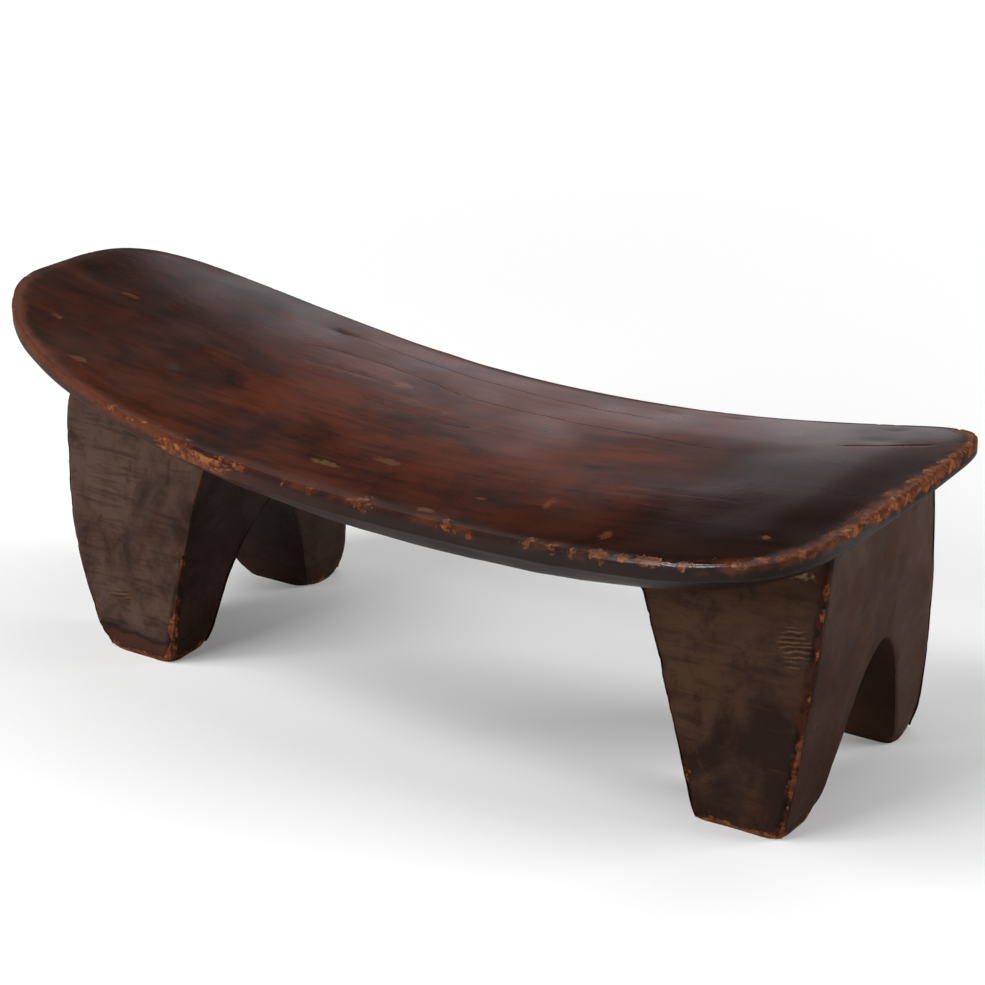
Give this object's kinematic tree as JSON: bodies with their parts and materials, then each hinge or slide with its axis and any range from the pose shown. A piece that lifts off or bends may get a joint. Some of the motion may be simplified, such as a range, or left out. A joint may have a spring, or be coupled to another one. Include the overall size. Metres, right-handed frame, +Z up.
{
  "type": "headrest",
  "caption": "Low carved wooden headrest: a long saddle-shaped platform with a high round end and a low square end, on two arched supports.",
  "frame": {"origin": "on the surface the feet stand on, under the middle of the platform", "axes": "+X along the platform towards its low square end, +Y across it towards the rear, +Z up"},
  "size_m": [0.5001, 0.206, 0.1698],
  "materials": {
    "platform_wood": "handled dark reddish-brown patina, semi-gloss",
    "leg_wood": "dry grey-brown patina with tool marks, satin"
  },
  "bodies": {
    "root": {"rest_platform": "platform_wood", "front_left_leg": "leg_wood", "rear_left_leg": "leg_wood", "front_right_leg": "leg_wood", "rear_right_leg": "leg_wood"}
  },
  "joints": []
}
